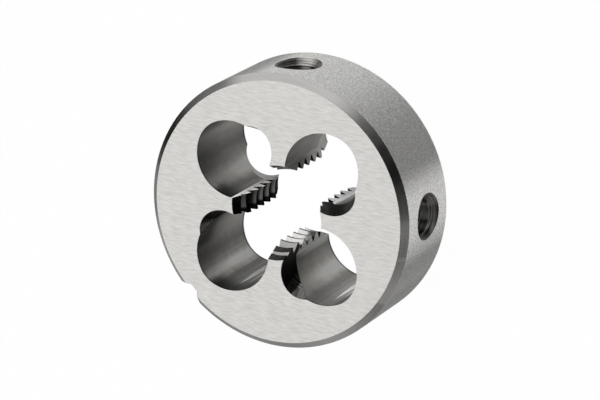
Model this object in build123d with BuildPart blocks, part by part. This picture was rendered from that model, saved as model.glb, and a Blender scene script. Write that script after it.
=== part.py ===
from build123d import *
import os
from math import ceil, cos, hypot, radians, sin, sqrt, tan

# A round threading die of hardened tool steel, made from one disc.
# It lies on its back face: +Z is its axis, pointing out of the front face,
# and the origin is the centre of the back face. Sizes are in millimetres.

# Disc
OUTER_DIAMETER = 30.0
THICKNESS = 11.0
RIM_CHAMFER = 0.73

# Thread that the die cuts: coarse metric, right-hand
THREAD_DIAMETER = 10.0
THREAD_PITCH = 1.5
THREAD_ANGLE = 60.0
CREST_FLAT = 0.30
FIRST_ROOT_HEIGHT = 0.41

# Lead taper at both mouths of the thread, which starts the die on the rod.
# Each land's taper is ground about an axis of its own, set over towards the
# land's heel, so that the taper clears behind its cutting edge.
LEAD_LENGTH = 2.7
LEAD_MOUTH_MARGIN = 0.22
LEAD_SET_OVER = 0.45

# Cutting lands, with a clearance hole between each pair of neighbours.
# A land is widest at its crests and narrows to a waist behind the thread.
LAND_COUNT = 4
FIRST_LAND_ANGLE = 45.0
LAND_CREST_WIDTH = 2.12
LAND_WAIST_WIDTH = 1.90
LAND_WAIST_MARGIN = 0.36

# Clearance hole: a round nose towards the rim, then two flatter flanks
RIM_WALL = 3.25
HOLE_NOSE_RADIUS = 3.36
HOLE_NOSE_HALF_ANGLE = 21.0

# Spiral-point grind: a tilted round wheel scoops one side of each land, at
# both faces. Its axis passes the face beside the land, outside the thread,
# and leans towards the die's axis and away from the land as it goes deeper.
# The back is ground a little harder than the front.
GRIND_RADIUS = 2.59
GRIND_DEPTH = 3.9
GRIND_AXIS_MARGIN = 1.20
GRIND_LEAN_INWARD = 25.5
FRONT_GRIND_BITE = 0.33
FRONT_GRIND_LEAN_ASIDE = 6.8
BACK_GRIND_BITE = 0.50
BACK_GRIND_LEAN_ASIDE = 9.8

# Groove across the rim, for the die stock's spreading screw
GROOVE_ANGLE = 90.0
GROOVE_DEPTH = 1.2
GROOVE_FLOOR_WIDTH = 1.05
GROOVE_OPENING_ANGLE = 86.0

# Dimples round the rim, for the die stock's clamping and adjusting screws:
# short drilled holes, countersunk. They stand in pairs about a centre line of
# their own, a degree off the groove's.
DIMPLE_CENTRE_ANGLE = 91.0
DIMPLE_ANGLES_FROM_CENTRE = (60.0, 135.0)
DIMPLE_MOUTH_DIAMETER = 5.5
DIMPLE_CONE_ANGLE = 90.0
DIMPLE_DRILL_DIAMETER = 4.0
DIMPLE_DRILL_LENGTH = 1.0
DRILL_POINT_ANGLE = 118.0

# Cutters reach this far past the surfaces that they cut
OVERRUN = 1.0

# Worked out from the sizes above
OUTER_RADIUS = OUTER_DIAMETER / 2
ROOT_RADIUS = THREAD_DIAMETER / 2
ROOT_FLAT = THREAD_PITCH / 8
FLANK_SLOPE = tan(radians(THREAD_ANGLE / 2))
CREST_RADIUS = ROOT_RADIUS - (THREAD_PITCH - ROOT_FLAT - CREST_FLAT) / 2 / FLANK_SLOPE
LAND_SPACING = 360 / LAND_COUNT

# The height of each face, and the way out of it along +Z: front, then back
FACES = ((THICKNESS, 1), (0, -1))


def plan_point(outward, aside, angle):
    """A point in the plan, measured along a radial line and to its left."""
    turn = radians(angle)
    return (
        outward * cos(turn) - aside * sin(turn),
        outward * sin(turn) + aside * cos(turn),
    )


# The disc, with both rim edges chamfered
with BuildPart() as blank:
    with BuildSketch():
        Circle(OUTER_RADIUS)
    extrude(amount=THICKNESS)
    chamfer(blank.edges().filter_by(GeomType.CIRCLE), RIM_CHAMFER)

# The bore at the thread's crests
with BuildPart() as bore:
    with BuildSketch(Plane.XY.offset(-OVERRUN)):
        Circle(CREST_RADIUS)
    extrude(amount=THICKNESS + 2 * OVERRUN)

# The two lead tapers of a land drawn on +X, each one sector of a cone: at the
# front face, where the heel is on the land's right, and at the back face,
# where it is on the left. The cone runs on until it is well inside the bore.
taper_mouth_radius = hypot(ROOT_RADIUS + LEAD_MOUTH_MARGIN, LEAD_SET_OVER)
taper_end_radius = hypot(CREST_RADIUS, LEAD_SET_OVER)
taper_slope = (taper_mouth_radius - taper_end_radius) / LEAD_LENGTH
run_on = (taper_end_radius - CREST_RADIUS + LEAD_SET_OVER) / taper_slope
sector_start = radians(LAND_SPACING / 2)

with BuildPart() as lead_tapers:
    for face_height, side in FACES:
        taper_axis = Axis((0, -side * LEAD_SET_OVER, face_height), (0, 0, side))
        taper_plane = Plane(
            origin=taper_axis.position,
            x_dir=(cos(sector_start), -side * sin(sector_start), 0),
            z_dir=(-sin(sector_start), -side * cos(sector_start), 0),
        )
        with BuildSketch(taper_plane):
            with BuildLine():
                Polyline(
                    (0, OVERRUN),
                    (taper_mouth_radius + taper_slope * OVERRUN, OVERRUN),
                    (taper_end_radius - taper_slope * run_on, -LEAD_LENGTH - run_on),
                    (0, -LEAD_LENGTH - run_on),
                    close=True,
                )
            make_face()
        revolve(axis=taper_axis, revolution_arc=LAND_SPACING)

# One tooth space of the thread where it crosses a land: a short stretch of the
# helix that starts on +X. It opens a little inside the crests, where the
# neighbouring turns still stand apart.
space_opening = THREAD_PITCH - CREST_FLAT / 3
space_depth = (space_opening - ROOT_FLAT) / 2 / FLANK_SLOPE
space_turn = LAND_SPACING / 2

with BuildPart() as tooth_space:
    with BuildLine() as helix:
        Helix(
            pitch=THREAD_PITCH,
            height=THREAD_PITCH * space_turn / 360,
            radius=ROOT_RADIUS,
        )
    with BuildSketch(Plane.XZ):
        with BuildLine():
            Polyline(
                (ROOT_RADIUS - space_depth, -space_opening / 2),
                (ROOT_RADIUS, -ROOT_FLAT / 2),
                (ROOT_RADIUS, ROOT_FLAT / 2),
                (ROOT_RADIUS - space_depth, space_opening / 2),
                close=True,
            )
        make_face()
    sweep(path=helix.line, is_frenet=True)

# One clearance hole, drawn on +X. Its straight inner sides are the faces of
# the two lands beside it, and it opens into the bore between their crests.
land_side_angle = LAND_SPACING / 2
crest_half_width = LAND_CREST_WIDTH / 2
crest_outward = sqrt(CREST_RADIUS**2 - crest_half_width**2)
waist_half_width = LAND_WAIST_WIDTH / 2
waist_outward = ROOT_RADIUS + LAND_WAIST_MARGIN
inside_bore = 0.6

with BuildPart() as clearance_hole:
    with BuildSketch(Plane.XY.offset(-OVERRUN)):
        with BuildLine():
            waist_corner = Vector(plan_point(waist_outward, -waist_half_width, land_side_angle))
            crest_corner = Vector(plan_point(crest_outward, -crest_half_width, land_side_angle))
            bore_corner = crest_corner + (crest_corner - waist_corner) * inside_bore
            nose_reach = OUTER_RADIUS - RIM_WALL
            nose = CenterArc(
                (nose_reach - HOLE_NOSE_RADIUS, 0),
                HOLE_NOSE_RADIUS,
                start_angle=0,
                arc_size=HOLE_NOSE_HALF_ANGLE,
            )
            TangentArc(nose @ 1, waist_corner, tangent=nose % 1)
            Polyline(waist_corner, bore_corner, (bore_corner.X, 0))
            mirror(about=Plane.XZ)
        make_face()
    extrude(amount=THICKNESS + 2 * OVERRUN)

# The two wheels that grind a land drawn on +X: one at the front face, on the
# land's left, and one at the back face, on its right
grinds = ((FRONT_GRIND_BITE, FRONT_GRIND_LEAN_ASIDE), (BACK_GRIND_BITE, BACK_GRIND_LEAN_ASIDE))
grind_outward = ROOT_RADIUS + GRIND_AXIS_MARGIN
lean_inward = tan(radians(GRIND_LEAN_INWARD))

with BuildPart() as grinding_wheels:
    for (face_height, side), (bite, lean_angle) in zip(FACES, grinds):
        grind_aside = waist_half_width + GRIND_RADIUS - bite
        lean_aside = tan(radians(lean_angle))
        wheel_plane = Plane(
            origin=(grind_outward, side * grind_aside, face_height),
            z_dir=(-lean_inward, side * lean_aside, -side),
        )
        with BuildSketch(wheel_plane.offset(-2 * OVERRUN)):
            Circle(GRIND_RADIUS)
        extrude(amount=GRIND_DEPTH + 2 * OVERRUN)

# The spreading screw's groove, drawn on +X
groove_floor = OUTER_RADIUS - GROOVE_DEPTH
groove_flare = tan(radians(GROOVE_OPENING_ANGLE / 2))

with BuildPart() as rim_groove:
    with BuildSketch(Plane.XY.offset(-OVERRUN)):
        with BuildLine():
            groove_mouth = GROOVE_FLOOR_WIDTH / 2 + (GROOVE_DEPTH + OVERRUN) * groove_flare
            Polyline(
                (groove_floor, -GROOVE_FLOOR_WIDTH / 2),
                (OUTER_RADIUS + OVERRUN, -groove_mouth),
                (OUTER_RADIUS + OVERRUN, groove_mouth),
                (groove_floor, GROOVE_FLOOR_WIDTH / 2),
                close=True,
            )
        make_face()
    extrude(amount=THICKNESS + 2 * OVERRUN)

# One screw dimple, drawn on +X
mid_height = THICKNESS / 2
cone_slope = tan(radians(DIMPLE_CONE_ANGLE / 2))
mouth_radius = DIMPLE_MOUTH_DIAMETER / 2
drill_radius = DIMPLE_DRILL_DIAMETER / 2
drill_top = OUTER_RADIUS - (mouth_radius - drill_radius) / cone_slope
drill_floor = drill_top - DIMPLE_DRILL_LENGTH
drill_tip = drill_floor - drill_radius / tan(radians(DRILL_POINT_ANGLE / 2))

with BuildPart() as dimple:
    with BuildSketch(Plane.XZ):
        with BuildLine():
            Polyline(
                (OUTER_RADIUS + OVERRUN, mid_height),
                (OUTER_RADIUS + OVERRUN, mid_height + mouth_radius + OVERRUN * cone_slope),
                (drill_top, mid_height + drill_radius),
                (drill_floor, mid_height + drill_radius),
                (drill_tip, mid_height),
                close=True,
            )
        make_face()
    revolve(axis=Axis((0, 0, mid_height), (1, 0, 0)))

# Where the cutters go. Every tooth space of every land lies on one right-hand
# helix, which climbs one pitch in a full turn.
land_angles = [FIRST_LAND_ANGLE + LAND_SPACING * land for land in range(LAND_COUNT)]
thread_turns = range(-1, ceil(THICKNESS / THREAD_PITCH) + 1)
dimple_angles = [
    DIMPLE_CENTRE_ANGLE + side * angle for angle in DIMPLE_ANGLES_FROM_CENTRE for side in (1, -1)
]


def turned(angle, height=0.0):
    """A place on the die's axis at a height, turned by an angle from +X."""
    return Location((0, 0, height), (0, 0, angle))


def on_helix(angle, turn):
    """The start of the tooth space that crosses a land in a turn of the thread."""
    start_angle = angle - space_turn / 2
    return turned(start_angle, FIRST_ROOT_HEIGHT + THREAD_PITCH * (start_angle / 360 + turn))


# The die: the disc, less everything that is bored, cut or ground away

with BuildPart() as die_body:
    add(blank.part)
    add(bore.part, mode=Mode.SUBTRACT)
    with Locations(*[turned(angle + land_side_angle) for angle in land_angles]):
        add(clearance_hole.part, mode=Mode.SUBTRACT)
    with Locations(*[on_helix(angle, turn) for angle in land_angles for turn in thread_turns]):
        add(tooth_space.part, mode=Mode.SUBTRACT)
    with Locations(*[turned(angle) for angle in land_angles]):
        add(lead_tapers.part, mode=Mode.SUBTRACT)
        add(grinding_wheels.part, mode=Mode.SUBTRACT)
    with Locations(turned(GROOVE_ANGLE)):
        add(rim_groove.part, mode=Mode.SUBTRACT)
    with Locations(*[turned(angle) for angle in dimple_angles]):
        add(dimple.part, mode=Mode.SUBTRACT)

die_body.part.label = "die_body"

os.makedirs("parts", exist_ok=True)
export_step(die_body.part, "parts/die_body.step")
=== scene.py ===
import logging
import math
from abc import ABC, abstractmethod
from collections.abc import Sequence
from dataclasses import dataclass, field
from enum import Enum, auto
from functools import reduce

import bmesh
import bpy
from mathutils import Matrix, Vector

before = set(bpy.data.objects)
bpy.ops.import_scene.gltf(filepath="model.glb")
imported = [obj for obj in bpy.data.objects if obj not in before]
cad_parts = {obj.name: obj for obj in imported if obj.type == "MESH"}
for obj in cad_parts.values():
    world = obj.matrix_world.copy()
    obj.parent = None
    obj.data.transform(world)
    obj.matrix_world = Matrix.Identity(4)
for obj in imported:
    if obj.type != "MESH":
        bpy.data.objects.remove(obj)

LOG = logging.getLogger("threading_die")
MM = 0.001
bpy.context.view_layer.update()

Socket = bpy.types.NodeSocket
Value = float | Socket
Triple = tuple[float, float, float]


def direction(azimuth: float, elevation: float) -> Triple:
    """The unit vector towards an azimuth, turned from +X, and an elevation, both in degrees."""
    turn, rise = math.radians(azimuth), math.radians(elevation)
    return math.cos(turn) * math.cos(rise), math.sin(turn) * math.cos(rise), math.sin(rise)


class Bench:
    """Adds nodes to one node tree and wires them."""

    def __init__(self, tree: bpy.types.NodeTree) -> None:
        """Takes the node tree to work on."""
        self.tree = tree

    def node(self, kind: str, **settings: object) -> bpy.types.Node:
        """Adds a node.

        Args:
            kind: The node's type, without its ShaderNode prefix.
            settings: Properties to set on the node.

        Returns:
            The new node.
        """
        made = self.tree.nodes.new(kind if kind.startswith("Node") else "ShaderNode" + kind)
        for name, value in settings.items():
            setattr(made, name, value)
        return made

    def feed(self, socket: Socket, value: object) -> None:
        """Wires a socket into another one, or sets a plain value on it, with an alpha of 1 on a colour.

        Args:
            socket: The input.
            value: The socket or the plain value that goes into it.
        """
        if isinstance(value, Socket):
            self.tree.links.new(value, socket)
        elif socket.type == "RGBA":
            socket.default_value = (*value, 1.0)
        else:
            socket.default_value = value

    def result(self, kind: str, values: Sequence[object], output: str = "", **settings: object) -> Socket:
        """Adds a node, feeds its inputs in their order and picks an output.

        Args:
            kind: The node's type, without its ShaderNode prefix.
            values: What goes into the inputs.
            output: The output's name, or nothing for the first one.
            settings: Properties to set on the node.

        Returns:
            The output.
        """
        made = self.node(kind, **settings)
        for socket, value in zip(made.inputs, values):
            self.feed(socket, value)
        return made.outputs[output or 0]

    def math(self, operation: str, *values: Value, clamp: bool = False) -> Socket:
        """The result of a Math node for up to three values."""
        return self.result("Math", values, operation=operation, use_clamp=clamp)

    def vector(self, operation: str, *values: object) -> Socket:
        """The vector result of a Vector Math node."""
        return self.result("VectorMath", values, operation=operation)

    def dot(self, first: object, second: object) -> Socket:
        """The dot product of two vectors."""
        return self.result("VectorMath", (first, second), "Value", operation="DOT_PRODUCT")

    def length(self, value: object) -> Socket:
        """The length of a vector."""
        return self.result("VectorMath", (value,), "Value", operation="LENGTH")

    def join(self, x: Value, y: Value, z: Value) -> Socket:
        """A vector from three values."""
        return self.result("CombineXYZ", (x, y, z))

    def split(self, value: Socket) -> tuple[Socket, Socket, Socket]:
        """The three values of a vector.

        Args:
            value: The vector.

        Returns:
            Its x, y and z.
        """
        made = self.node("SeparateXYZ")
        self.feed(made.inputs[0], value)
        return made.outputs[0], made.outputs[1], made.outputs[2]

    def ramp(self, value: Value, start: float, end: float, low: float = 0.0, high: float = 1.0) -> Socket:
        """A smooth step from low to high while value goes from start to end."""
        return self.result("MapRange", (value, start, end, low, high), interpolation_type="SMOOTHSTEP")

    def off(self, value: Value, centre: float) -> Socket:
        """How far a value lies from a centre."""
        return self.math("ABSOLUTE", self.math("SUBTRACT", value, centre))

    def within(self, value: Value, low: float, high: float) -> Socket:
        """1 where value is between low and high, and 0 elsewhere."""
        above = self.math("GREATER_THAN", value, low)
        return self.math("MULTIPLY", above, self.math("LESS_THAN", value, high))

    def near(self, value: Value, centre: float, slack: float) -> Socket:
        """1 where value is no further than slack from a centre, and 0 elsewhere."""
        return self.within(value, centre - slack, centre + slack)

    def all_of(self, *masks: Value) -> Socket:
        """1 where every mask is 1, or the product of factors."""
        return reduce(lambda total, mask: self.math("MULTIPLY", total, mask), masks)

    def any_of(self, *masks: Value) -> Socket:
        """1 where any mask is 1."""
        return reduce(lambda total, mask: self.math("MAXIMUM", total, mask), masks)

    def none_of(self, *masks: Value) -> Socket:
        """1 where no mask is 1."""
        return self.math("SUBTRACT", 1.0, self.any_of(*masks), clamp=True)

    def noise(self, position: Socket, scale: float, detail: float, roughness: float = 0.5) -> Socket:
        """Noise from 0 to 1.

        Args:
            position: Where it is read.
            scale: Its number of waves per unit.
            detail: How many finer layers it has.
            roughness: How strong those layers are.

        Returns:
            The noise.
        """
        made = self.node("TexNoise", noise_dimensions="3D")
        given = {"Vector": position, "Scale": scale, "Detail": detail, "Roughness": roughness}
        for name, value in given.items():
            self.feed(made.inputs[name], value)
        return made.outputs["Fac"]

    def mixed(self, kind: str, ending: str, share: Value, first: object, second: object) -> Socket:
        """What goes from first to second with a share.

        Args:
            kind: The Mix node's kind of data.
            ending: How the names of its sockets of that kind end.
            share: The share of the second one.
            first: What a share of 0 gives.
            second: What a share of 1 gives.

        Returns:
            The mix.
        """
        made = self.node("Mix", data_type=kind)
        for name, value in (("Factor_Float", share), ("A_" + ending, first), ("B_" + ending, second)):
            self.feed(next(socket for socket in made.inputs if socket.identifier == name), value)
        return next(socket for socket in made.outputs if socket.identifier == "Result_" + ending)

    def mix(self, share: Value, first: Value, second: Value) -> Socket:
        """A value that goes from first to second with a share."""
        return self.mixed("FLOAT", "Float", share, first, second)

    def blend(self, share: Value, first: object, second: object) -> Socket:
        """A vector that goes from first to second with a share."""
        return self.mixed("VECTOR", "Vector", share, first, second)

    def tint(self, share: Value, first: object, second: object) -> Socket:
        """A colour that goes from first to second with a share."""
        return self.mixed("RGBA", "Color", share, first, second)

    def group(self, tree: bpy.types.NodeTree, **values: object) -> Socket:
        """Places a node group.

        Args:
            tree: The group.
            values: What goes into its inputs, by name.

        Returns:
            Its first output.
        """
        made = self.node("Group")
        made.node_tree = tree
        for name, value in values.items():
            self.feed(made.inputs[name], value)
        return made.outputs[0]


class SocketKind(Enum):
    """What a group's socket carries."""

    NUMBER = "NodeSocketFloat"
    VECTOR = "NodeSocketVector"


@dataclass
class EffectGroup:
    """A shader node group with named inputs and outputs."""

    name: str
    inputs: dict[str, SocketKind]
    outputs: dict[str, SocketKind]
    bench: Bench = field(init=False)
    given: bpy.types.Node = field(init=False)
    result: bpy.types.Node = field(init=False)

    def __post_init__(self) -> None:
        """Makes the empty group with its sockets."""
        self.bench = Bench(bpy.data.node_groups.new(self.name, "ShaderNodeTree"))
        for in_out, sockets in (("INPUT", self.inputs), ("OUTPUT", self.outputs)):
            for name, kind in sockets.items():
                self.bench.tree.interface.new_socket(name=name, in_out=in_out, socket_type=kind.value)
        self.given = self.bench.node("NodeGroupInput")
        self.result = self.bench.node("NodeGroupOutput")

    def take(self, name: str) -> Socket:
        """The socket inside the group that carries an input."""
        return self.given.outputs[name]

    def give(self, name: str, value: Value) -> None:
        """Sends a value to one of the group's outputs."""
        self.bench.feed(self.result.inputs[name], value)


@dataclass(frozen=True)
class DieSizes:
    """Sizes of the die that its finishes follow, in millimetres and degrees."""

    outer_radius: float = 15.0
    thickness: float = 11.0
    rim_chamfer: float = 0.73
    crest_radius: float = 4.123
    root_radius: float = 5.0
    hole_reach: float = 11.75
    first_land: float = 45.0
    land_half_width: float = 0.95
    land_waist: float = 5.36
    grind_radius: float = 2.59
    grind_depth: float = 3.9
    grind_outward: float = 6.2
    grind_lean_inward: float = 25.5
    grind_bites: tuple[float, float] = (0.33, 0.50)
    grind_leans_aside: tuple[float, float] = (6.8, 9.8)
    groove_floor: float = 13.8
    groove_half_width: float = 1.75
    dimple_angles: tuple[float, ...] = (31.0, 151.0, 226.0, 316.0)


class Reading(Enum):
    """What can be read at a point of the surface.

    RISE is the upward share of the way that the surface looks, and TURN is its azimuth in degrees. WAVY_TURN
    is the same with a slow sway.
    """

    X = "x"
    Y = "y"
    Z = "z"
    RADIUS = "radius"
    RISE = "rise"
    TURN = "turn"
    WAVY_TURN = "wavy_turn"


@dataclass(frozen=True)
class SurfacePoint:
    """A place on the die in millimetres, the way its surface looks, and what is read from them."""

    bench: Bench
    place: Socket
    normal: Socket
    x: Socket
    y: Socket
    z: Socket
    radius: Socket
    rise: Socket
    turn: Socket
    wavy_turn: Socket

    @classmethod
    def shaded(cls, bench: Bench, sway: float = 9.0, sway_scale: float = 0.9) -> "SurfacePoint":
        """Reads the point that is being shaded.

        Args:
            bench: Where the nodes go.
            sway: How far the wavy turn sways, in degrees from end to end.
            sway_scale: The sway's number of waves per millimetre.

        Returns:
            The point.
        """
        coordinates = bench.node("TexCoord")
        place = bench.vector("MULTIPLY", coordinates.outputs["Object"], (1 / MM,) * 3)
        normal = coordinates.outputs["Normal"]
        x, y, z = bench.split(place)
        normal_x, normal_y, rise = bench.split(normal)
        turn = bench.math("MULTIPLY", bench.math("ARCTAN2", normal_y, normal_x), math.degrees(1.0))
        wave = bench.math("SUBTRACT", bench.noise(place, sway_scale, 1.0), 0.5)
        wavy_turn = bench.math("ADD", turn, bench.math("MULTIPLY", wave, sway))
        return cls(bench, place, normal, x, y, z, bench.length(bench.join(x, y, 0.0)), rise, turn, wavy_turn)

    def read(self, reading: Reading) -> Socket:
        """One of the point's readings."""
        return getattr(self, reading.value)


class Zone(Enum):
    """The surfaces of the die that are finished in different ways."""

    FACE = auto()
    CHAMFER = auto()
    RIM = auto()
    GROOVE = auto()
    DIMPLE = auto()
    HOLE = auto()
    LAND = auto()
    THREAD = auto()
    FRONT_GRIND = auto()
    BACK_GRIND = auto()


@dataclass(frozen=True)
class ZoneMasks:
    """One mask for each zone, and the coordinates along the tool marks of the dimples and the grinds."""

    bench: Bench
    masks: dict[Zone, Socket]
    dimple_radius: Socket
    grind_depth: Socket

    def choose(self, values: dict[Zone, Value], elsewhere: Value) -> Value:
        """A value that each zone sets for itself.

        Args:
            values: The value in each zone.
            elsewhere: The value outside those zones.

        Returns:
            The value at the shaded point.
        """
        chosen = elsewhere
        for zone, value in values.items():
            chosen = self.bench.mix(self.masks[zone], chosen, value)
        return chosen


@dataclass(frozen=True)
class ZoneMap:
    """Finds each zone of the die from a place on it and the surface's direction.

    The slopes are the upward or downward share of the direction, and the slacks are in millimetres.
    """

    sizes: DieSizes
    point: SurfacePoint
    flat_slope: float = 0.97
    steep_slope: float = 0.4
    thread_slope: float = 0.2
    taper_slope: float = 0.6
    taper_reach: float = 0.5
    fine_slack: float = 0.01
    tooth_slack: float = 0.012
    bore_slack: float = 0.02
    slack: float = 0.03
    chamfer_slack: float = 0.06
    hole_slack: float = 0.08
    wide_slack: float = 0.1
    land_slack: float = 0.14

    def build(self) -> ZoneMasks:
        """Adds the zones to a material.

        Returns:
            The zones.
        """
        point, bench = self.point, self.point.bench
        slope = bench.math("ABSOLUTE", point.rise)
        beyond_holes = bench.math("GREATER_THAN", point.radius, self.sizes.hole_reach + self.hole_slack)
        masks = self.outer_masks(slope, beyond_holes)
        outward, aside = self.land_frame()
        grinds, depth = self.grind_masks(outward, aside)
        in_hole = bench.none_of(masks[Zone.FACE], beyond_holes)
        front, back = (bench.all_of(mask, in_hole) for mask in grinds)
        grind = bench.any_of(front, back)
        leaning = bench.math("GREATER_THAN", slope, self.thread_slope)
        toothed = self.toothed(slope, leaning)
        thread = bench.all_of(toothed, bench.none_of(masks[Zone.FACE], grind, beyond_holes))
        half_width = self.sizes.land_half_width
        beside = bench.math("ABSOLUTE", aside)
        beside = bench.within(beside, half_width - self.slack, half_width + self.land_slack)
        short = bench.math("LESS_THAN", outward, self.sizes.land_waist + self.fine_slack)
        land = bench.all_of(beside, short, bench.none_of(masks[Zone.FACE], leaning, grind, thread))
        hole = bench.none_of(*masks.values(), grind, thread, land)
        masks |= {Zone.HOLE: hole, Zone.LAND: land, Zone.THREAD: thread}
        masks |= {Zone.FRONT_GRIND: front, Zone.BACK_GRIND: back}
        return ZoneMasks(bench, masks, self.dimple_radius(), depth)

    def outer_masks(self, slope: Socket, beyond_holes: Socket) -> dict[Zone, Socket]:
        """Masks of the zones on the outside of the die.

        Args:
            slope: The upward or downward share of the surface's direction.
            beyond_holes: A mask of what lies further out than the holes.

        Returns:
            The masks.
        """
        point, bench, sizes = self.point, self.point.bench, self.sizes
        half = sizes.thickness / 2
        height = bench.off(point.z, half)
        at_end = bench.math("GREATER_THAN", height, half - self.wide_slack)
        face = bench.all_of(at_end, bench.math("GREATER_THAN", slope, self.flat_slope))
        chamfer_foot = sizes.outer_radius - sizes.rim_chamfer - self.chamfer_slack
        outer = bench.math("GREATER_THAN", point.radius, chamfer_foot)
        near_end = bench.math("GREATER_THAN", height, half - sizes.rim_chamfer - self.fine_slack)
        chamfer = bench.all_of(outer, near_end, bench.within(slope, self.steep_slope, self.flat_slope))
        outermost = bench.math("GREATER_THAN", point.radius, sizes.outer_radius - self.slack)
        rim = bench.all_of(outermost, bench.math("LESS_THAN", slope, self.steep_slope))
        in_groove = bench.math("LESS_THAN", bench.math("ABSOLUTE", point.x), sizes.groove_half_width)
        above_floor = bench.math("GREATER_THAN", point.y, sizes.groove_floor - self.wide_slack)
        groove = bench.all_of(in_groove, above_floor, bench.none_of(face, chamfer, rim))
        dimple = bench.all_of(beyond_holes, bench.none_of(face, chamfer, rim, groove))
        return {
            Zone.FACE: face,
            Zone.CHAMFER: chamfer,
            Zone.RIM: rim,
            Zone.GROOVE: groove,
            Zone.DIMPLE: dimple,
        }

    def toothed(self, slope: Socket, leaning: Socket) -> Socket:
        """A mask of the flanks, crests, roots and tapered mouths of the thread.

        Args:
            slope: The upward or downward share of the surface's direction.
            leaning: A mask of the surfaces that aren't upright.

        Returns:
            The mask.
        """
        point, bench, sizes = self.point, self.point.bench, self.sizes
        in_bore = bench.math("LESS_THAN", point.radius, sizes.root_radius + self.bore_slack)
        crest = bench.math("LESS_THAN", point.radius, sizes.crest_radius + self.tooth_slack)
        in_mouth = bench.math("LESS_THAN", point.radius, sizes.root_radius + self.taper_reach)
        tapered = bench.all_of(bench.within(slope, self.thread_slope, self.taper_slope), in_mouth)
        roots = bench.near(point.radius, sizes.root_radius, self.tooth_slack)
        return bench.any_of(bench.all_of(in_bore, bench.any_of(leaning, crest)), tapered, roots)

    def land_frame(self) -> tuple[Socket, Socket]:
        """A place in the plan, measured along and across the nearest land.

        Returns:
            How far out and how far to the land's left the place lies.
        """
        point, bench = self.point, self.point.bench
        quarter = math.pi / 2
        place_turn = bench.math("ARCTAN2", point.y, point.x)
        turn = bench.math("SUBTRACT", place_turn, math.radians(self.sizes.first_land))
        nearest = bench.math("MULTIPLY", bench.math("ROUND", bench.math("DIVIDE", turn, quarter)), quarter)
        turn = bench.math("SUBTRACT", turn, nearest)
        outward = bench.math("MULTIPLY", point.radius, bench.math("COSINE", turn))
        return outward, bench.math("MULTIPLY", point.radius, bench.math("SINE", turn))

    def grind_masks(self, outward: Socket, aside: Socket) -> tuple[list[Socket], Socket]:
        """Masks of what the tilted wheels ground, and how deep along the wheel each place lies.

        Args:
            outward: How far out along the nearest land the place lies.
            aside: How far to that land's left it lies.

        Returns:
            The masks of the front and the back grinds, and the depth in millimetres.
        """
        bench, sizes, slack = self.point.bench, self.sizes, self.slack
        masks, depths = [], []
        faces = ((sizes.thickness, 1), (0.0, -1))
        inward = math.tan(math.radians(sizes.grind_lean_inward))
        for (face_height, side), bite, lean in zip(faces, sizes.grind_bites, sizes.grind_leans_aside):
            start_aside = side * (sizes.land_half_width + sizes.grind_radius - bite)
            start = (sizes.grind_outward, start_aside, face_height)
            axis = Vector((-inward, side * math.tan(math.radians(lean)), -side)).normalized()
            offset = bench.vector("SUBTRACT", bench.join(outward, aside, self.point.z), start)
            along = bench.dot(offset, tuple(axis))
            reach = self.beside_axis(bench, bench.dot(offset, offset), along)
            wall = bench.near(reach, sizes.grind_radius, slack)
            wall = bench.all_of(wall, bench.math("LESS_THAN", along, sizes.grind_depth + slack))
            floor = bench.near(along, sizes.grind_depth, slack)
            floor = bench.all_of(floor, bench.math("LESS_THAN", reach, sizes.grind_radius + slack))
            mask = bench.any_of(wall, floor)
            masks.append(mask)
            depths.append(bench.math("MULTIPLY", along, mask))
        return masks, bench.any_of(*depths)

    def beside_axis(self, bench: Bench, square: Socket, along: Socket) -> Socket:
        """The distance from an axis, for the squared distance from its start and the length along it."""
        gap = bench.math("SUBTRACT", square, bench.math("POWER", along, 2.0))
        return bench.math("SQRT", bench.math("MAXIMUM", gap, 0.0))

    def dimple_radius(self) -> Socket:
        """The distance from the nearest dimple's axis.

        Returns:
            The distance in millimetres.
        """
        point, bench = self.point, self.point.bench
        centred = bench.vector("SUBTRACT", point.place, (0.0, 0.0, self.sizes.thickness / 2))
        square = bench.dot(centred, centred)
        gaps = []
        for angle in self.sizes.dimple_angles:
            along = bench.math("MAXIMUM", bench.dot(centred, direction(angle, 0.0)), 0.0)
            gaps.append(self.beside_axis(bench, square, along))
        return reduce(lambda nearest, gap: bench.math("MINIMUM", nearest, gap), gaps)


@dataclass(frozen=True)
class ToolMarks:
    """Fine lines that a wheel or cutter leaves side by side."""

    drift_scale: float = 0.55
    detail: float = 3.0
    roughness: float = 0.65

    def build(self) -> bpy.types.NodeTree:
        """Makes the group.

        Returns:
            A group that takes a place, whose x runs across the lines, and gives streaks from 0 to 1.
        """
        made = EffectGroup(
            "tool_marks",
            {
                "Place": SocketKind.VECTOR,
                "Lines": SocketKind.NUMBER,
                "Stretch": SocketKind.NUMBER,
                "Sway": SocketKind.NUMBER,
            },
            {"Streak": SocketKind.NUMBER},
        )
        bench = made.bench
        place = made.take("Place")
        across, along, third = bench.split(place)
        drift = bench.math("SUBTRACT", bench.noise(place, self.drift_scale, 1.0), 0.5)
        across = bench.math("ADD", across, bench.math("MULTIPLY", drift, made.take("Sway")))
        long = bench.math("DIVIDE", along, made.take("Stretch"))
        deep = bench.math("DIVIDE", third, made.take("Stretch"))
        scaled = bench.vector("MULTIPLY", bench.join(across, long, deep), made.take("Lines"))
        made.give("Streak", bench.noise(scaled, 1.0, self.detail, self.roughness))
        return made.bench.tree


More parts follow.
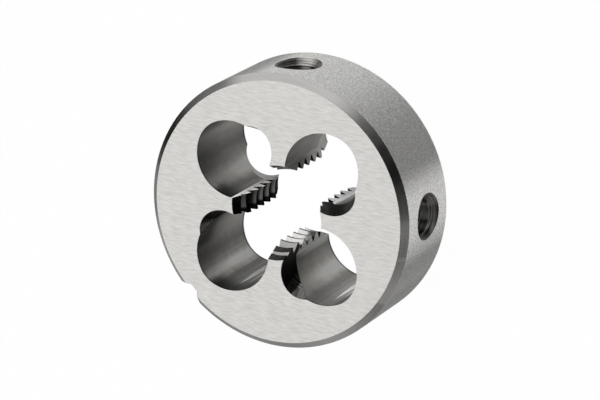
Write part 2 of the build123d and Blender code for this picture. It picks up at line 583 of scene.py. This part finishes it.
@dataclass(frozen=True)
class Grain:
    """The satin grain of a metal surface."""

    detail: float = 2.0
    roughness: float = 0.6

    def build(self) -> bpy.types.NodeTree:
        """Makes the group.

        Returns:
            A group that takes a place and gives grain from 0 to 1.
        """
        made = EffectGroup(
            "satin_grain",
            {"Place": SocketKind.VECTOR, "Fineness": SocketKind.NUMBER},
            {"Grain": SocketKind.NUMBER},
        )
        scaled = made.bench.vector("MULTIPLY", made.take("Place"), made.take("Fineness"))
        made.give("Grain", made.bench.noise(scaled, 1.0, self.detail, self.roughness))
        return made.bench.tree


@dataclass(frozen=True)
class WornHighlitEdges:
    """The bright line along an edge, partly wear from handling and partly a painted highlight, over the
    cosine between two normals.
    """

    none_at: float = 0.998
    full_at: float = 0.93

    def build(self) -> bpy.types.NodeTree:
        """Makes the group.

        Returns:
            A group that takes a rounded and a sharp normal, and gives a mask of the edges.
        """
        made = EffectGroup(
            "worn_highlit_edges",
            {"Rounded": SocketKind.VECTOR, "Sharp": SocketKind.VECTOR},
            {"Edge": SocketKind.NUMBER},
        )
        agreement = made.bench.dot(made.take("Rounded"), made.take("Sharp"))
        made.give("Edge", made.bench.ramp(agreement, self.none_at, self.full_at))
        return made.bench.tree


class Factor(ABC):
    """Something that changes over the surface: a mask from 0 to 1, or a factor of the lightness."""

    @abstractmethod
    def at(self, point: SurfacePoint) -> Socket:
        """Its value at a point."""


@dataclass(frozen=True)
class Step(Factor):
    """A smooth step along a reading: where it starts and ends, and the values there."""

    along: Reading
    start: float
    end: float
    low: float = 0.0
    high: float = 1.0

    def at(self, point: SurfacePoint) -> Socket:
        """The step's value at a point."""
        return point.bench.ramp(point.read(self.along), self.start, self.end, self.low, self.high)


@dataclass(frozen=True)
class Side(Factor):
    """A smooth step along the cosine of the angle between the surface and one way, given in degrees."""

    azimuth: float
    elevation: float
    start: float
    end: float
    low: float = 0.0
    high: float = 1.0

    def at(self, point: SurfacePoint) -> Socket:
        """The step's value at a point."""
        towards = point.bench.dot(point.normal, direction(self.azimuth, self.elevation))
        return point.bench.ramp(towards, self.start, self.end, self.low, self.high)


@dataclass(frozen=True)
class Band(Factor):
    """A band that is 1 + gain in its middle and fades to 1 on both sides."""

    centre: float
    half_width: float
    gain: float
    along: Reading = Reading.WAVY_TURN

    def at(self, point: SurfacePoint) -> Socket:
        """The band's factor at a point."""
        off = point.bench.off(point.read(self.along), self.centre)
        return point.bench.ramp(off, 0.0, self.half_width, 1.0 + self.gain, 1.0)


@dataclass(frozen=True)
class Stripe(Factor):
    """A mask of a band, which fades over an edge."""

    along: Reading
    centre: float
    half_width: float
    edge: float

    def at(self, point: SurfacePoint) -> Socket:
        """The mask at a point."""
        off = point.bench.off(point.read(self.along), self.centre)
        return point.bench.ramp(off, self.half_width, self.half_width - self.edge)


@dataclass(frozen=True)
class Patch(Factor):
    """A factor that is 1 + gain where every mask is 1, and 1 outside them."""

    gain: float
    masks: tuple[Factor, ...]

    def at(self, point: SurfacePoint) -> Socket:
        """The patch's factor at a point."""
        inside = point.bench.all_of(*(mask.at(point) for mask in self.masks))
        return point.bench.math("MULTIPLY_ADD", inside, self.gain, 1.0)


@dataclass(frozen=True)
class Roots(Factor):
    """A mask of what lies deep in the thread, from a radius that is smaller inside a stripe."""

    stripe: Stripe
    widening: float
    start: float
    end: float

    def at(self, point: SurfacePoint) -> Socket:
        """The mask at a point."""
        radius = point.bench.math("MULTIPLY_ADD", self.stripe.at(point), self.widening, point.radius)
        return point.bench.ramp(radius, self.start, self.end)


@dataclass(frozen=True)
class Partly(Factor):
    """The product of factors where a share is 1, and 1 where the share is 0."""

    share: Step
    factors: tuple[Factor, ...]

    def at(self, point: SurfacePoint) -> Socket:
        """The factor at a point."""
        level = point.bench.all_of(*(factor.at(point) for factor in self.factors))
        return point.bench.mix(self.share.at(point), 1.0, level)


@dataclass(frozen=True)
class PaintedGlintBands:
    """Painted glints: narrow bright bands on the walls of the holes, which end in a point towards the front.
    """

    bands: tuple[Band, ...] = (
        Band(-46.5, 3.9, 6.8, Reading.TURN),
        Band(-37.0, 2.0, 1.6, Reading.TURN),
        Band(-30.0, 1.5, 1.2, Reading.TURN),
    )
    edge: float = 0.7
    narrowing: Step = Step(Reading.Z, 9.6, 3.6)
    shift: Step = Step(Reading.X, -6.0, -2.0, -5.5, 0.0)

    def added(self, point: SurfacePoint, lightness: Socket) -> Socket:
        """Adds the painted glints to the walls.

        Args:
            point: The shaded point.
            lightness: The walls' factor without them.

        Returns:
            The factor with them.
        """
        bench = point.bench
        narrowing, shift = self.narrowing.at(point), self.shift.at(point)
        for band in self.bands:
            reach = bench.math("MULTIPLY", narrowing, band.half_width)
            off = bench.off(bench.math("ADD", point.read(band.along), shift), band.centre)
            lit = bench.ramp(bench.math("SUBTRACT", reach, off), 0.0, self.edge)
            lightness = bench.math("MULTIPLY_ADD", lit, band.gain, lightness)
        return lightness


@dataclass(frozen=True)
class PaintedZoneTones:
    """The tones that the photographed light leaves on the zones, as factors of their lightness."""

    below_mouth: Step = Step(Reading.Z, 8.2, 7.7)
    taper_side: Stripe = Stripe(Reading.TURN, -130.0, 30.0, 4.0)
    # The painted sheen on the rim, where the roughness is lower too.
    painted_rim_sheen: Side = Side(-131.5, 0.0, 0.935, 1.0)
    # Where the hole walls carry painted shade, painted light and a second painted shade.
    shade_side: Stripe = Stripe(Reading.WAVY_TURN, -52.0, 38.0, 18.0)
    lit_side: Side = Side(-150.0, 0.0, 0.866, 0.927)
    dim_side: Side = Side(-165.0, 0.0, 0.839, 0.934)
    painted_glints: PaintedGlintBands = PaintedGlintBands()
    hole: tuple[Factor, ...] = (
        # Painted shade: darker towards the front, with a shade behind it.
        Step(Reading.Z, 11.5, 2.0, 0.55, 1.35),
        Patch(-0.82, (shade_side, Step(Reading.Z, 6.8, 10.4), Step(Reading.X, -6.0, -2.0))),
        # Painted light and painted shade in single holes.
        Patch(1.15, (lit_side, Step(Reading.X, -1.0, -3.0), Step(Reading.Z, 8.5, 6.0))),
        Patch(-0.62, (dim_side, Step(Reading.Y, 3.0, 6.0), Step(Reading.Z, 6.0, 9.0))),
        Patch(0.38, (Step(Reading.Y, -2.0, -4.0), Step(Reading.X, 1.0, 3.0), Step(Reading.Z, 5.0, 8.0))),
        # Painted shade in dark lines along both faces, and then lengthwise bands of painted reflection.
        Step(Reading.Z, 0.12, 0.45, 0.30, 1.0),
        Step(Reading.Z, 10.62, 10.90, 1.0, 0.35),
        Band(-155.0, 22.0, 0.30),
        Band(-123.0, 17.0, -0.38),
        Band(-88.0, 20.0, 1.15),
        Band(-64.0, 12.0, -0.35),
        Band(-54.0, 2.5, -0.25),
        Band(-20.0, 16.0, -0.40),
    )
    front_grind: tuple[Factor, ...] = (
        # Painted highlights at the light ends, and painted shade at the dark ends and the deep end.
        Patch(10.0, (Stripe(Reading.WAVY_TURN, -58.0, 21.0, 5.0), Step(Reading.RISE, 0.36, 0.40))),
        Patch(5.0, (Stripe(Reading.WAVY_TURN, -147.0, 21.0, 5.0), Step(Reading.RISE, 0.36, 0.40))),
        Patch(-0.94, (Stripe(Reading.TURN, -32.0, 20.0, 6.0), Step(Reading.RISE, 0.375, 0.33))),
        Patch(-0.90, (Stripe(Reading.TURN, -112.0, 30.0, 6.0), Step(Reading.RISE, 0.375, 0.33))),
        Patch(-0.70, (Side(178.0, 20.0, 0.93, 0.975),)),
    )
    chamfer: tuple[Factor, ...] = (
        # Painted shade round the chamfers.
        Band(14.0, 44.0, -0.80),
        Band(98.0, 80.0, -0.35),
        Band(-109.0, 32.0, -0.88),
        Band(143.0, 26.0, -0.22),
        Band(50.0, 16.0, -0.28),
        # A painted highlight on the stretch beside a dimple.
        Patch(1.25, (Step(Reading.TURN, -149.5, -144.5), Step(Reading.TURN, -126.0, -134.0))),
    )
    thread: tuple[Factor, ...] = (
        # Painted shade on the undersides, the mouth, the roots, two sets of flanks and the taper.
        Step(Reading.RISE, -0.3, 0.3, 0.12, 1.0),
        Step(Reading.Z, 6.2, 8.2, 1.0, 0.5),
        Patch(-0.93, (Roots(taper_side, 0.17, 4.40, 4.76), below_mouth)),
        Patch(-0.93, (Stripe(Reading.TURN, 95.0, 66.0, 13.2), below_mouth)),
        Patch(-0.95, (Stripe(Reading.TURN, -106.0, 20.0, 4.0),)),
        Patch(-0.90, (taper_side, Step(Reading.RISE, 0.60, 0.45))),
    )
    land: tuple[Factor, ...] = (
        # A painted sheen, painted light and shade on the heels, and painted light in the depth.
        Band(-45.0, 45.0, 0.48),
        Band(-142.0, 10.0, 0.45, Reading.TURN),
        Band(-130.0, 9.0, -0.24, Reading.TURN),
        Step(Reading.Z, 7.5, 2.5, 1.0, 2.5),
    )
    rim: tuple[Factor, ...] = (
        # Painted shade on the far side and the right, painted light on the lower part, and a painted sheen.
        Patch(-0.5, (Step(Reading.TURN, -40.0, -27.0), Step(Reading.TURN, 110.0, 30.0))),
        Side(-172.0, 0.0, 0.77, 0.98, 1.0, 0.74),
        Side(-155.0, 0.0, 0.972, 0.997, 1.0, 1.22),
        Patch(0.66, (painted_rim_sheen,)),
    )
    dimple: tuple[Factor, ...] = (
        # A painted glow, and at low x painted shade low on the wall and painted light higher up.
        Patch(3.4, (Side(-45.0, 65.0, 0.82, 0.92), Step(Reading.X, -3.0, 3.0))),
        Partly(
            Step(Reading.X, 3.0, -3.0),
            (Step(Reading.RISE, 0.25, 0.72, 0.35, 2.0), Step(Reading.RISE, 0.84, 0.96, 1.0, 7.0)),
        ),
    )

    def lightness(self, point: SurfacePoint) -> dict[Zone, Socket]:
        """The painted light and shade of each zone that has it, as a factor of its lightness.

        Args:
            point: The shaded point.

        Returns:
            The factors.
        """
        factors = {
            Zone.HOLE: self.hole,
            Zone.FRONT_GRIND: self.front_grind,
            Zone.CHAMFER: self.chamfer,
            Zone.THREAD: self.thread,
            Zone.LAND: self.land,
            Zone.RIM: self.rim,
            Zone.DIMPLE: self.dimple,
        }
        found = {}
        for zone, parts in factors.items():
            found[zone] = point.bench.all_of(*(part.at(point) for part in parts))
        found[Zone.HOLE] = self.painted_glints.added(point, found[Zone.HOLE])
        return found


@dataclass(frozen=True)
class MarkSize:
    """How close together tool marks lie, how long they are and how far they sway."""

    lines: float
    stretch: float
    sway: float


@dataclass(frozen=True)
class ZoneFinish:
    """How one zone of the die looks."""

    colour: Triple
    roughness: float
    streak_tone: float
    streak_rough: float
    relief: float


@dataclass
class DieSteel:
    """The hardened tool steel of the die, with a finish of its own in each zone and painted light and shade
    in its colour.
    """

    sizes: DieSizes
    tones: PaintedZoneTones = PaintedZoneTones()
    scratch_angle: float = 40.0
    anisotropy: float = 1.0
    edge_radius: float = 0.07
    edge_samples: int = 8
    edge_wear_and_highlight: float = 0.8
    worn_highlight_colour: Triple = (0.900, 0.890, 0.865)
    least_lightness: float = 0.05
    sheen_rough: float = -0.15
    face_marks: MarkSize = MarkSize(4.8, 6.5, 0.60)
    chamfer_marks: MarkSize = MarkSize(9.0, 30.0, 0.05)
    dimple_marks: MarkSize = MarkSize(3.0, 12.0, 0.05)
    wall_marks: MarkSize = MarkSize(1.6, 40.0, 0.1)
    tooth_marks: MarkSize = MarkSize(7.0, 20.0, 0.05)
    grind_marks: MarkSize = MarkSize(4.5, 8.0, 0.3)
    satin_fineness: float = 4.9
    arc_radius: float = 10.0
    wall_arc_radius: float = 14.0
    ring_slant: float = 1.3
    # One steel darkened zone by zone: the chamfers, the rim and the hole walls are darker than the faces as
    # painted shade.
    finishes: dict[Zone, ZoneFinish] = field(
        default_factory=lambda: {
            Zone.FACE: ZoneFinish((0.640, 0.632, 0.609), 0.42, 0.44, 0.10, 0.0060),
            Zone.CHAMFER: ZoneFinish((0.330, 0.326, 0.317), 0.18, 0.20, 0.04, 0.0015),
            Zone.RIM: ZoneFinish((0.490, 0.486, 0.474), 0.55, 0.84, 0.12, 0.0110),
            Zone.GROOVE: ZoneFinish((0.600, 0.592, 0.575), 0.42, 0.10, 0.05, 0.0020),
            # Nearly black as painted shade in the recess, lit again by the painted glow.
            Zone.DIMPLE: ZoneFinish((0.072, 0.070, 0.067), 0.34, 3.00, 0.10, 0.0300),
            Zone.HOLE: ZoneFinish((0.400, 0.393, 0.377), 0.40, 0.22, 0.06, 0.0030),
            Zone.LAND: ZoneFinish((0.640, 0.632, 0.613), 0.70, 0.14, 0.05, 0.0010),
            Zone.THREAD: ZoneFinish((0.520, 0.512, 0.496), 0.16, 0.16, 0.05, 0.0010),
            # Nearly black as a painted dark reflection, with painted highlights from the tones.
            Zone.FRONT_GRIND: ZoneFinish((0.027, 0.026, 0.025), 0.30, 3.60, 0.08, 0.0040),
            Zone.BACK_GRIND: ZoneFinish((0.800, 0.790, 0.770), 0.40, 0.40, 0.08, 0.0040),
        }
    )

    def build(self) -> bpy.types.Material:
        """Makes the material.

        Returns:
            The material.
        """
        material = bpy.data.materials.new("hardened_tool_steel")
        material.use_nodes = True
        material.node_tree.nodes.clear()
        bench = Bench(material.node_tree)
        shader = bench.node("BsdfPrincipled")
        shader.inputs["Metallic"].default_value = 1.0
        shader.inputs["Anisotropic"].default_value = self.anisotropy
        bench.feed(bench.node("OutputMaterial").inputs["Surface"], shader.outputs[0])
        point = SurfacePoint.shaded(bench)
        zones = ZoneMap(self.sizes, point).build()
        # The painted light and shade of each zone.
        lightness = self.tones.lightness(point)
        swing = self.swing(point, zones)
        rounded = bench.node("Bevel", samples=self.edge_samples)
        rounded.inputs["Radius"].default_value = self.edge_radius * MM
        sharp = bench.node("NewGeometry").outputs["Normal"]
        inner = bench.any_of(*(zones.masks[zone] for zone in (Zone.THREAD, Zone.LAND, Zone.FRONT_GRIND)))
        edge = bench.group(WornHighlitEdges().build(), Rounded=rounded.outputs[0], Sharp=sharp)
        edge = bench.all_of(edge, bench.none_of(inner, zones.masks[Zone.CHAMFER]))
        normal = bench.blend(inner, rounded.outputs[0], sharp)
        bench.feed(shader.inputs["Base Color"], self.colour(zones, swing, lightness, edge))
        bench.feed(shader.inputs["Roughness"], self.roughness(point, zones, swing))
        bench.feed(shader.inputs["Specular Tint"], self.glancing(zones, lightness))
        bench.feed(shader.inputs["Normal"], self.relief(zones, swing, normal))
        bench.feed(shader.inputs["Tangent"], self.tangent(point, zones))
        return material

    def from_finishes(self, zones: ZoneMasks, name: str) -> Value:
        """The value that each zone's finish has in one of its fields."""
        return zones.choose({zone: getattr(finish, name) for zone, finish in self.finishes.items()}, 0.0)

    def colour(self, zones: ZoneMasks, swing: Value, lightness: dict[Zone, Socket], edge: Socket) -> Socket:
        """The steel's colour.

        Args:
            zones: The zones.
            swing: The tool marks, from -1 to 1.
            lightness: The painted light and shade of each zone that has it, as a factor of its lightness.
            edge: A mask of the worn edges, which also carry a painted highlight.

        Returns:
            The colour.
        """
        bench = zones.bench
        colour: object = self.finishes[Zone.FACE].colour
        for zone, finish in self.finishes.items():
            colour = bench.tint(zones.masks[zone], colour, finish.colour)
        marked = bench.math("MULTIPLY_ADD", swing, self.from_finishes(zones, "streak_tone"), 1.0)
        marked = bench.math("MAXIMUM", marked, self.least_lightness)
        # The painted light and shade of the zone scales the colour.
        level = bench.math("MULTIPLY", marked, zones.choose(lightness, 1.0))
        colour = bench.vector("MULTIPLY", colour, bench.join(level, level, level))
        # Worn edges take a lighter colour, which is partly a painted highlight.
        return bench.tint(bench.math("MULTIPLY", edge, self.edge_wear_and_highlight), colour, self.worn_highlight_colour)

    def roughness(self, point: SurfacePoint, zones: ZoneMasks, swing: Value) -> Socket:
        """The steel's roughness, which is lower where the rim carries its painted sheen.

        Args:
            point: The shaded point.
            zones: The zones.
            swing: The tool marks, from -1 to 1.

        Returns:
            The roughness.
        """
        bench = point.bench
        rough = self.from_finishes(zones, "roughness")
        rough = bench.math("MULTIPLY_ADD", swing, self.from_finishes(zones, "streak_rough"), rough)
        shine = bench.math("MULTIPLY", zones.masks[Zone.RIM], self.tones.painted_rim_sheen.at(point))
        return bench.math("MULTIPLY_ADD", shine, self.sheen_rough, rough)

    def glancing(self, zones: ZoneMasks, lightness: dict[Zone, Socket]) -> Socket:
        """The tint of glancing reflections, which follows the painted light and shade of the chamfers and
        the thread.
        """
        level = zones.choose({zone: lightness[zone] for zone in (Zone.CHAMFER, Zone.THREAD)}, 1.0)
        return zones.bench.join(level, level, level)

    def relief(self, zones: ZoneMasks, swing: Value, normal: Socket) -> Socket:
        """The surface's direction with the relief of the tool marks.

        Args:
            zones: The zones.
            swing: The tool marks, from -1 to 1.
            normal: The direction without them.

        Returns:
            The direction.
        """
        bench = zones.bench
        bump = bench.node("Bump")
        height = bench.math("MULTIPLY", swing, self.from_finishes(zones, "relief"))
        for name, value in (("Strength", 1.0), ("Distance", MM), ("Height", height), ("Normal", normal)):
            bench.feed(bump.inputs[name], value)
        return bump.outputs[0]

    def tangent(self, point: SurfacePoint, zones: ZoneMasks) -> Socket:
        """The way that highlights stretch: across the scratches of a face, out of a dimple, else upwards.

        Args:
            point: The shaded point.
            zones: The zones.

        Returns:
            The way.
        """
        across_scratches = direction(self.scratch_angle + 90, 0.0)
        outward = point.bench.vector("MULTIPLY", point.place, (1.0, 1.0, 0.0))
        chosen = point.bench.blend(zones.masks[Zone.FACE], (0.0, 0.0, 1.0), across_scratches)
        return point.bench.blend(zones.masks[Zone.DIMPLE], chosen, outward)

    def swing(self, point: SurfacePoint, zones: ZoneMasks) -> Socket:
        """The tool marks of the zones.

        Args:
            point: The shaded point.
            zones: The zones.

        Returns:
            The tool marks, from -1 to 1.
        """
        bench = point.bench
        turn = bench.math("ARCTAN2", point.y, point.x)
        arc = bench.math("MULTIPLY", turn, self.arc_radius)
        turned = bench.node("VectorRotate", rotation_type="Z_AXIS")
        bench.feed(turned.inputs["Vector"], point.place)
        turned.inputs["Angle"].default_value = math.radians(90.0 - self.scratch_angle)
        round_axis = bench.join(point.radius, arc, point.z)
        rings = bench.math("MULTIPLY_ADD", point.radius, self.ring_slant, zones.dimple_radius)
        wall_arc = bench.math("MULTIPLY", turn, self.wall_arc_radius)
        tree = ToolMarks().build()
        face, chamfer, dimple, wall, tooth, grind = (
            bench.group(tree, Place=place, Lines=size.lines, Stretch=size.stretch, Sway=size.sway)
            for place, size in (
                (turned.outputs[0], self.face_marks),
                (round_axis, self.chamfer_marks),
                (bench.join(rings, arc, point.z), self.dimple_marks),
                (bench.join(wall_arc, point.z, 0.0), self.wall_marks),
                (round_axis, self.tooth_marks),
                (bench.join(zones.grind_depth, arc, 0.0), self.grind_marks),
            )
        )
        satin = bench.group(Grain().build(), Place=point.place, Fineness=self.satin_fineness)
        streaks = {
            Zone.FACE: face,
            Zone.CHAMFER: chamfer,
            Zone.RIM: satin,
            Zone.GROOVE: satin,
            Zone.DIMPLE: dimple,
            Zone.HOLE: wall,
            Zone.LAND: tooth,
            Zone.THREAD: tooth,
            Zone.FRONT_GRIND: grind,
            Zone.BACK_GRIND: grind,
        }
        return bench.math("MULTIPLY", bench.math("SUBTRACT", zones.choose(streaks, 0.5), 0.5), 2.0)


@dataclass
class ThreadingDie:
    """The die itself: one CAD node, dressed in its steel."""

    node_name: str = "die_body"
    slot_name: str = "tool_steel"
    sizes: DieSizes = DieSizes()

    def dress(self, nodes: dict[str, bpy.types.Object]) -> bpy.types.Object:
        """Gives the CAD node its material.

        Args:
            nodes: The CAD nodes by name.

        Returns:
            The dressed object.
        """
        body = nodes[self.node_name]
        steel = DieSteel(self.sizes).build()
        for slot in body.material_slots:
            slot.material = steel
        return body


@dataclass(frozen=True)
class SoftLamp:
    """A rectangular soft lamp that looks at the die."""

    name: str
    azimuth: float
    elevation: float
    distance: float
    width: float
    height: float
    radiance: float


@dataclass(frozen=True)
class DarkFlag:
    """A dark part of the studio with a soft edge, in degrees from its middle."""

    azimuth: float
    elevation: float
    core: float
    edge: float
    level: float


@dataclass
class Studio:
    """The floor, the light and the camera."""

    floor_radius: float = 2.5
    floor_segments: int = 96
    hole_shade_radius: float = 11.9
    white_share: float = 0.98
    hole_share: float = 0.28
    floor_colour: Triple = (0.95, 0.95, 0.95)
    flags: tuple[DarkFlag, ...] = (
        DarkFlag(-129.0, 41.0, 37.0, 63.0, 0.16),
        DarkFlag(145.0, 4.0, 36.0, 78.0, 0.20),
        DarkFlag(42.0, 4.0, 24.0, 42.0, 0.10),
    )
    world_level: float = 1.5
    lamp: SoftLamp = SoftLamp("left_fill", 176.0, 14.0, 0.6, 0.30, 0.14, 0.5)
    lens: float = 192.76
    clip_start: float = 0.01
    camera_place: Triple = (-0.029995, -0.171277, 0.300041)
    camera_right: Triple = (-0.629007, -0.642628, -0.437470)
    camera_up: Triple = (0.772462, -0.579981, -0.258697)

    def floor(self) -> None:
        """Makes the pale floor, which stays white round the die and keeps its shadow."""
        mesh = bpy.data.meshes.new("floor")
        plan = bmesh.new()
        bmesh.ops.create_circle(plan, cap_ends=True, segments=self.floor_segments, radius=self.floor_radius)
        plan.to_mesh(mesh)
        plan.free()
        made = bpy.data.objects.new("floor", mesh)
        bpy.context.scene.collection.objects.link(made)
        mesh.materials.append(self.floor_paper())

    def floor_paper(self) -> bpy.types.Material:
        """Makes the floor's white paper, whose part under the holes is less bright to glossy rays.

        Returns:
            The material.
        """
        material = bpy.data.materials.new("white_paper")
        material.use_nodes = True
        material.node_tree.nodes.clear()
        bench = Bench(material.node_tree)
        lit = bench.node("BsdfDiffuse")
        bench.feed(lit.inputs["Color"], self.floor_colour)
        path = bench.node("LightPath").outputs
        place = bench.vector("MULTIPLY", bench.node("TexCoord").outputs["Object"], (1 / MM,) * 3)
        under = bench.math("LESS_THAN", bench.length(place), self.hole_shade_radius)
        reflected = bench.math("ADD", path["Is Glossy Ray"], path["Is Transmission Ray"])
        seen = bench.math("ADD", path["Is Camera Ray"], reflected, clamp=True)
        around = bench.math("MULTIPLY", seen, self.white_share)
        inside = bench.math("MULTIPLY_ADD", reflected, self.hole_share, path["Is Camera Ray"])
        share = bench.mix(under, around, inside)
        mixed = bench.result("MixShader", (share, lit.outputs[0], bench.node("Emission").outputs[0]))
        bench.feed(bench.node("OutputMaterial").inputs["Surface"], mixed)
        return material

    def sky(self) -> None:
        """Lights the scene with a white tent that has dark parts."""
        world = bpy.data.worlds.new("studio_tent")
        world.use_nodes = True
        world.node_tree.nodes.clear()
        bench = Bench(world.node_tree)
        towards = bench.node("TexCoord").outputs["Generated"]
        level: Value = self.world_level
        for flag in self.flags:
            facing = bench.dot(towards, direction(flag.azimuth, flag.elevation))
            core, edge = (math.cos(math.radians(angle)) for angle in (flag.core, flag.edge))
            level = bench.math("MULTIPLY", level, bench.ramp(facing, edge, core, 1.0, flag.level))
        glow = bench.node("Background")
        bench.feed(glow.inputs["Color"], bench.join(level, level, level))
        bench.feed(bench.node("OutputWorld").inputs["Surface"], glow.outputs[0])
        bpy.context.scene.world = world

    def light(self) -> None:
        """Places the soft lamp."""
        lamp = self.lamp
        data = bpy.data.lights.new(lamp.name, "AREA")
        data.shape = "RECTANGLE"
        data.size, data.size_y = lamp.width, lamp.height
        data.energy = lamp.radiance * math.pi * lamp.width * lamp.height
        made = bpy.data.objects.new(lamp.name, data)
        towards = Vector(direction(lamp.azimuth, lamp.elevation))
        made.location = towards * lamp.distance
        made.rotation_euler = towards.to_track_quat("Z", "Y").to_euler()
        bpy.context.scene.collection.objects.link(made)

    def camera(self) -> None:
        """Places the camera at the photograph's viewing angle."""
        data = bpy.data.cameras.new("camera")
        data.lens = self.lens
        data.clip_start = self.clip_start
        right, up = Vector(self.camera_right).normalized(), Vector(self.camera_up)
        back = right.cross(up).normalized()
        up = back.cross(right)
        turned = Matrix((right, up, back)).transposed().to_4x4()
        made = bpy.data.objects.new("camera", data)
        made.matrix_world = Matrix.Translation(self.camera_place) @ turned
        bpy.context.scene.collection.objects.link(made)
        bpy.context.scene.camera = made

    def build(self) -> None:
        """Makes the whole studio."""
        bpy.context.scene.view_settings.view_transform = "Standard"
        self.camera()
        self.floor()
        self.sky()
        self.light()


def main() -> None:
    """Builds the studio and dresses the die."""
    logging.basicConfig(level=logging.INFO, format="%(name)s: %(message)s")
    Studio().build()
    body = ThreadingDie().dress(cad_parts)
    LOG.info("dressed %s with %s", body.name, body.active_material.name)


if __name__ == "__main__":
    main()
